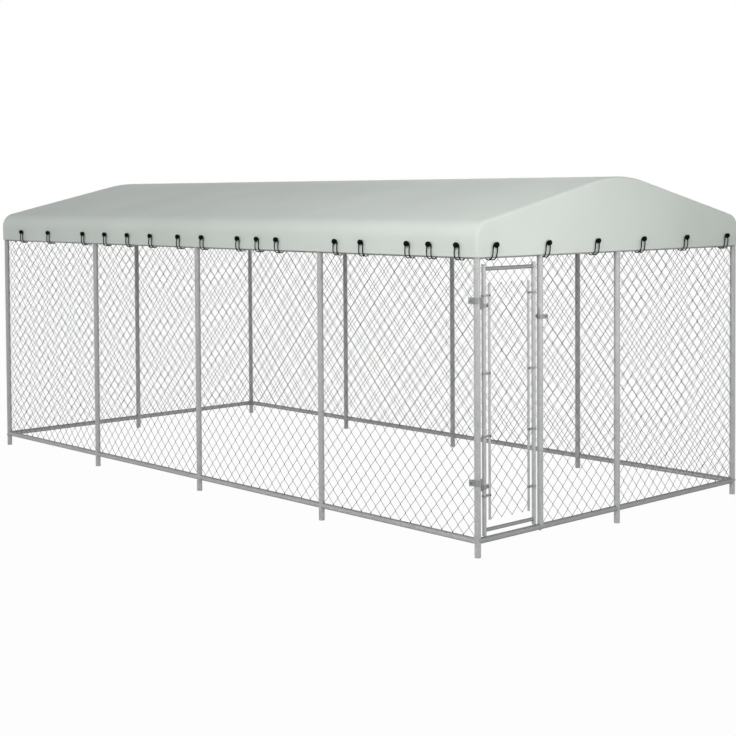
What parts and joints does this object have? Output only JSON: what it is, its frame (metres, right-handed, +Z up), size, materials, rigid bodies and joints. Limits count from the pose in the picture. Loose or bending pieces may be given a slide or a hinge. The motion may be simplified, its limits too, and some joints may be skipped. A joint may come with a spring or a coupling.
{
  "type": "outdoor dog kennel run",
  "caption": "Rectangular galvanised tube run with chain-link walls, a hinged fork-latched door at one gable and a pitched fabric canopy tied down with ball bungees.",
  "frame": {"origin": "on the ground in the middle of the footprint", "axes": "+Z up, +Y along the run away from the door gable, +X across the run; the door is at -Y"},
  "size_m": [2.9452, 6.1192, 2.425],
  "materials": {
    "galvanised_tube": "hot-dip galvanised, satin",
    "galvanised_wire": "galvanised wire, satin",
    "galvanised_hardware": "zinc plated, satin",
    "canopy_fabric": "pale grey-green woven polyethylene, semi-matte",
    "eyelet_brass": "rolled metal eyelet",
    "elastic_cord": "black braided elastic",
    "black_plastic": "black moulded plastic"
  },
  "bodies": {
    "run_frame": {"corner_posts": "galvanised_tube", "side_posts": "galvanised_tube", "gable_posts": "galvanised_tube", "door_post": "galvanised_tube", "bottom_rails_left": "galvanised_tube", "bottom_rails_right": "galvanised_tube", "bottom_rails_front": "galvanised_tube", "bottom_rails_rear": "galvanised_tube", "top_rails_left": "galvanised_tube", "top_rails_right": "galvanised_tube", "top_rails_front": "galvanised_tube", "top_rails_rear": "galvanised_tube", "eave_bends": "galvanised_tube", "rafters_left": "galvanised_tube", "rafters_right": "galvanised_tube", "ridge_bends": "galvanised_tube", "ridge_tubes": "galvanised_tube", "rail_plugs": "galvanised_hardware", "rail_studs": "galvanised_hardware", "roof_spigots": "galvanised_hardware", "rail_bolts": "galvanised_hardware", "post_bolts": "galvanised_hardware", "post_nuts": "galvanised_hardware", "hinge_bands": "galvanised_hardware", "hinge_collars": "galvanised_hardware", "latch_band": "galvanised_hardware", "latch_pin": "galvanised_hardware", "mesh_left_1": "galvanised_wire", "mesh_left_2": "galvanised_wire", "mesh_left_3": "galvanised_wire", "mesh_left_4": "galvanised_wire", "mesh_right_1": "galvanised_wire", "mesh_right_2": "galvanised_wire", "mesh_right_3": "galvanised_wire", "mesh_right_4": "galvanised_wire", "mesh_front_1": "galvanised_wire", "mesh_front_2": "galvanised_wire", "mesh_rear_1": "galvanised_wire", "mesh_rear_2": "galvanised_wire", "canopy_roof": "canopy_fabric", "canopy_front_gable": "canopy_fabric", "canopy_rear_gable": "canopy_fabric", "canopy_eyelets": "eyelet_brass", "gable_post_caps": "black_plastic", "bungee_cords_left": "elastic_cord", "bungee_cords_right": "elastic_cord", "bungee_cords_gables": "elastic_cord", "bungee_balls_left": "black_plastic", "bungee_balls_right": "black_plastic", "bungee_balls_gables": "black_plastic"},
    "door": {"door_stiles": "galvanised_tube", "door_rails": "galvanised_tube", "door_tension_bars": "galvanised_tube", "door_stile_caps": "galvanised_hardware", "door_tension_bands": "galvanised_hardware", "door_hinge_clamps": "galvanised_hardware", "door_bolts": "galvanised_hardware", "door_nuts": "galvanised_hardware", "door_mesh": "galvanised_wire"},
    "latch": {"latch_fork": "galvanised_hardware"}
  },
  "joints": [
    {"name": "door_swing", "type": "hinge", "parent": "run_frame", "child": "door", "pos_m": [-1.37875, -3, 0.5], "axis": [0, 0, -1], "range_deg": [-90, 100]},
    {"name": "latch_turn", "type": "hinge", "parent": "run_frame", "child": "latch", "pos_m": [-0.844, -3, 1.5], "axis": [0, -1, 0], "range_deg": [0, 90]}
  ]
}
